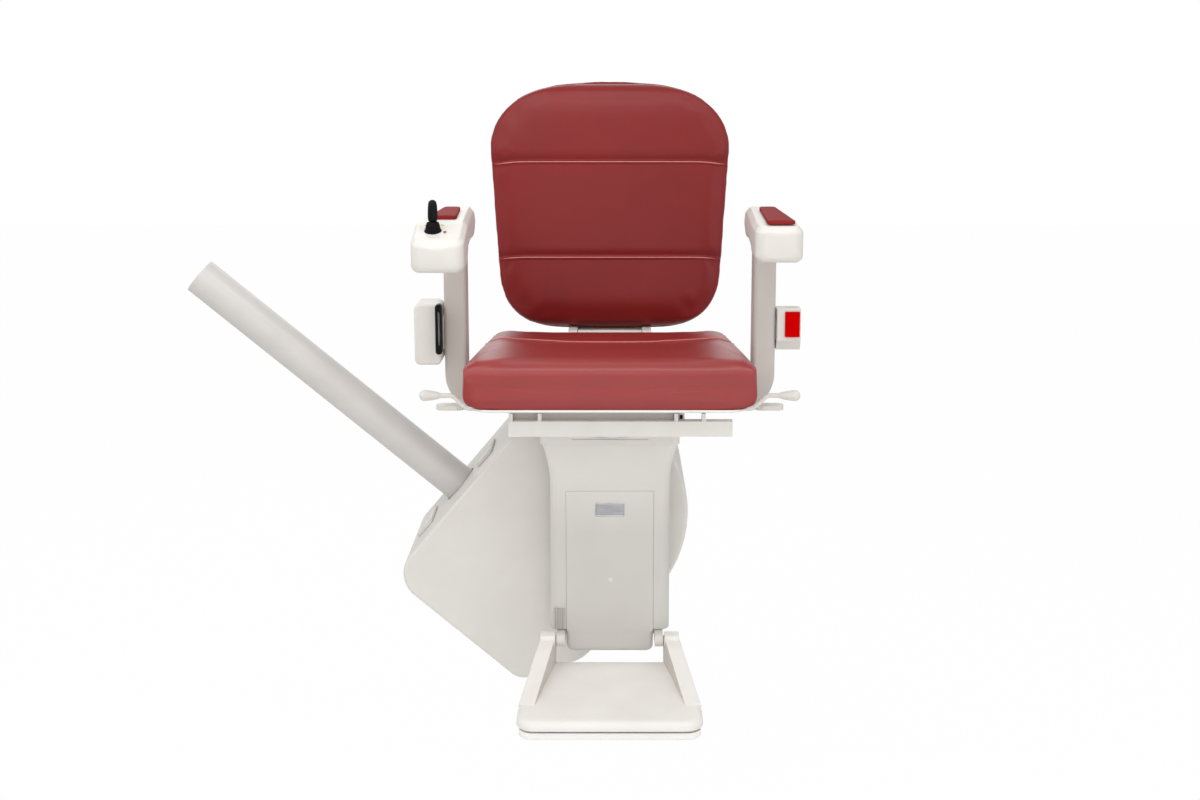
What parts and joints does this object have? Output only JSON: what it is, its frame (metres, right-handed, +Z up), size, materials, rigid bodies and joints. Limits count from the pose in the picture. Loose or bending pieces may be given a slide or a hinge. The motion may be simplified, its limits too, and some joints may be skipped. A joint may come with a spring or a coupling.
{
  "type": "stairlift chair",
  "caption": "Powered stair chair with padded seat and back, folding arms and footrest, on a carriage that climbs a sloping tube rail.",
  "frame": {"origin": "mouth of the rail tube's upper joint, on the tube's axis", "axes": "+X to the chair's left hand side as it faces the viewer's right, level; +Y to the wall behind the rail; +Z up"},
  "size_m": [1.0841, 0.6006, 1.0525],
  "materials": {
    "ivory": "satin moulded plastic",
    "ivory_paint": "satin powder coat",
    "rail_paint": "smooth painted tube",
    "leather": "soft upholstery with a fine grain",
    "black_plastic": "fine spark texture",
    "grey_plastic": "fine spark texture",
    "dark_steel": "black satin paint",
    "steel": "machined",
    "zinc": "zinc plated",
    "plate_metal": "fine brushed",
    "button_red": "moulded",
    "lamp": "clear red lens",
    "battery_case": "moulded",
    "board_green": "lacquered board",
    "roller_nylon": "turned nylon"
  },
  "bodies": {
    "rail": {"rail_tube": "rail_paint", "rail_rack": "steel", "rail_stop": "steel", "rail_end_cap": "black_plastic"},
    "carriage": {"carriage_frame": "dark_steel", "casing_front": "ivory", "casing_rear": "ivory", "bumpers": "black_plastic", "drive_motor": "dark_steel", "drive_gearbox": "plate_metal", "batteries": "battery_case", "control_board": "board_green", "levelling_motor": "dark_steel"},
    "drive_pinion": {"drive_pinion": "steel"},
    "guide_roller_1": {"guide_roller_1": "roller_nylon"},
    "guide_roller_2": {"guide_roller_2": "roller_nylon"},
    "guide_roller_3": {"guide_roller_3": "roller_nylon"},
    "guide_roller_4": {"guide_roller_4": "roller_nylon"},
    "levelling_pinion": {"levelling_pinion": "steel"},
    "column": {"column_frame": "dark_steel", "levelling_gear": "steel", "column_cover": "ivory", "column_panel": "ivory", "column_cap": "ivory", "name_plate": "plate_metal", "column_trim": "grey_plastic", "swivel_disc": "zinc", "swivel_bearing": "roller_nylon", "footrest_bracket": "dark_steel"},
    "footrest": {"footrest_arms": "ivory_paint", "footplate": "ivory", "pan_screws": "zinc"},
    "safety_pan": {"safety_pan": "ivory"},
    "seat_frame": {"swivel_plate": "dark_steel", "seat_rails": "ivory_paint", "front_beam": "ivory_paint", "arm_post_left": "ivory_paint", "arm_post_right": "ivory_paint", "back_bracket": "ivory_paint", "back_shell": "ivory", "back_cushion": "leather", "belt_reel_housing": "ivory", "belt_tongue": "black_plastic", "belt_brackets": "zinc", "buckle_housing": "ivory", "hinge_pins": "steel"},
    "belt_spool": {"belt_spool": "black_plastic"},
    "seat": {"seat_shell": "ivory", "seat_cushion": "leather"},
    "arm_left": {"arm_body_left": "ivory", "arm_pad_left": "leather", "status_lamp": "lamp"},
    "arm_right": {"arm_body_right": "ivory", "arm_pad_right": "leather"},
    "joystick": {"joystick": "black_plastic"},
    "buckle_button": {"buckle_button": "button_red"},
    "lever_left": {"swivel_lever_left": "zinc"},
    "lever_right": {"swivel_lever_right": "zinc"},
    "footrest_lever": {"paddle_shaft": "zinc", "paddles": "ivory"}
  },
  "joints": [
    {"name": "carriage_travel", "type": "slide", "parent": "rail", "child": "carriage", "axis": [-0.766, 0, 0.6428], "range_m": [0, 0.45]},
    {"name": "drive_pinion_spin", "type": "hinge", "parent": "carriage", "child": "drive_pinion", "pos_m": [0.58373, 0.0712, -0.4898], "axis": [0.6428, 0, 0.766], "continuous": true},
    {"name": "guide_roller_1_spin", "type": "hinge", "parent": "carriage", "child": "guide_roller_1", "pos_m": [0.52604, 0, -0.37965], "axis": [0, 1, 0], "continuous": true},
    {"name": "guide_roller_2_spin", "type": "hinge", "parent": "carriage", "child": "guide_roller_2", "pos_m": [0.46523, 0, -0.45212], "axis": [0, 1, 0], "continuous": true},
    {"name": "guide_roller_3_spin", "type": "hinge", "parent": "carriage", "child": "guide_roller_3", "pos_m": [0.71984, 0, -0.54227], "axis": [0, 1, 0], "continuous": true},
    {"name": "guide_roller_4_spin", "type": "hinge", "parent": "carriage", "child": "guide_roller_4", "pos_m": [0.65904, 0, -0.61474], "axis": [0, 1, 0], "continuous": true},
    {"name": "levelling", "type": "hinge", "parent": "carriage", "child": "column", "pos_m": [0.73694, -0.142, -0.41496], "axis": [0, 1, 0], "range_deg": [-10, 40]},
    {"name": "levelling_pinion_spin", "type": "hinge", "parent": "carriage", "child": "levelling_pinion", "pos_m": [0.6542, -0.084, -0.34554], "axis": [0, 1, 0], "range_deg": [-120, 30]},
    {"name": "footrest_fold", "type": "hinge", "parent": "column", "child": "footrest", "pos_m": [0.73694, -0.244, -0.58696], "axis": [-1, 0, 0], "range_deg": [0, 88]},
    {"name": "safety_pan_press", "type": "slide", "parent": "footrest", "child": "safety_pan", "axis": [0, 0, 1], "range_m": [0, 0.003], "stiffness_N_per_m": 1500, "springref_m": -0.004},
    {"name": "seat_swivel", "type": "hinge", "parent": "column", "child": "seat_frame", "pos_m": [0.73694, -0.19, -0.21896], "axis": [0, 0, 1], "range_deg": [-90, 90]},
    {"name": "belt_spool_turn", "type": "hinge", "parent": "seat_frame", "child": "belt_spool", "pos_m": [0.42794, -0.1315, -0.06646], "axis": [0, 1, 0], "range_deg": [0, 720], "stiffness_Nm_per_rad": 0.02, "springref_deg": -57.3},
    {"name": "seat_fold", "type": "hinge", "parent": "seat_frame", "child": "seat", "pos_m": [0.73694, 0.01, -0.10996], "axis": [-1, 0, 0], "range_deg": [0, 75]},
    {"name": "arm_left_fold", "type": "hinge", "parent": "seat_frame", "child": "arm_left", "pos_m": [0.47293, -0.12, 0.11004], "axis": [-1, 0, 0], "range_deg": [0, 88]},
    {"name": "arm_right_fold", "type": "hinge", "parent": "seat_frame", "child": "arm_right", "pos_m": [1.00093, -0.12, 0.11004], "axis": [-1, 0, 0], "range_deg": [0, 88]},
    {"name": "joystick_push", "type": "hinge", "parent": "arm_left", "child": "joystick", "pos_m": [0.46343, -0.353, 0.12104], "axis": [0, 1, 0], "range_deg": [-15, 15], "stiffness_Nm_per_rad": 0.3},
    {"name": "buckle_button_press", "type": "slide", "parent": "seat_frame", "child": "buckle_button", "axis": [0, 1, 0], "range_m": [0, 0.003], "stiffness_N_per_m": 300, "springref_m": -0.002},
    {"name": "swivel_lever_left_press", "type": "hinge", "parent": "seat_frame", "child": "lever_left", "pos_m": [0.65294, -0.225, -0.18896], "axis": [0, -1, 0], "range_deg": [0, 9], "stiffness_Nm_per_rad": 2, "springref_deg": -20.05},
    {"name": "swivel_lever_right_press", "type": "hinge", "parent": "seat_frame", "child": "lever_right", "pos_m": [0.82093, -0.225, -0.18896], "axis": [0, 1, 0], "range_deg": [0, 9], "stiffness_Nm_per_rad": 2, "springref_deg": -20.05},
    {"name": "footrest_lever_turn", "type": "hinge", "parent": "seat_frame", "child": "footrest_lever", "pos_m": [0.73694, -0.185, -0.19596], "axis": [1, 0, 0], "range_deg": [-20, 20], "stiffness_Nm_per_rad": 0.4}
  ],
  "couplings": [
    {"joint": "drive_pinion_spin", "follows": "carriage_travel", "rad_per_m": 35.714},
    {"joint": "guide_roller_1_spin", "follows": "carriage_travel", "rad_per_m": -69.93},
    {"joint": "guide_roller_2_spin", "follows": "carriage_travel", "rad_per_m": 69.93},
    {"joint": "guide_roller_3_spin", "follows": "carriage_travel", "rad_per_m": -69.93},
    {"joint": "guide_roller_4_spin", "follows": "carriage_travel", "rad_per_m": 69.93},
    {"joint": "levelling_pinion_spin", "follows": "levelling", "ratio": -2.8571}
  ]
}
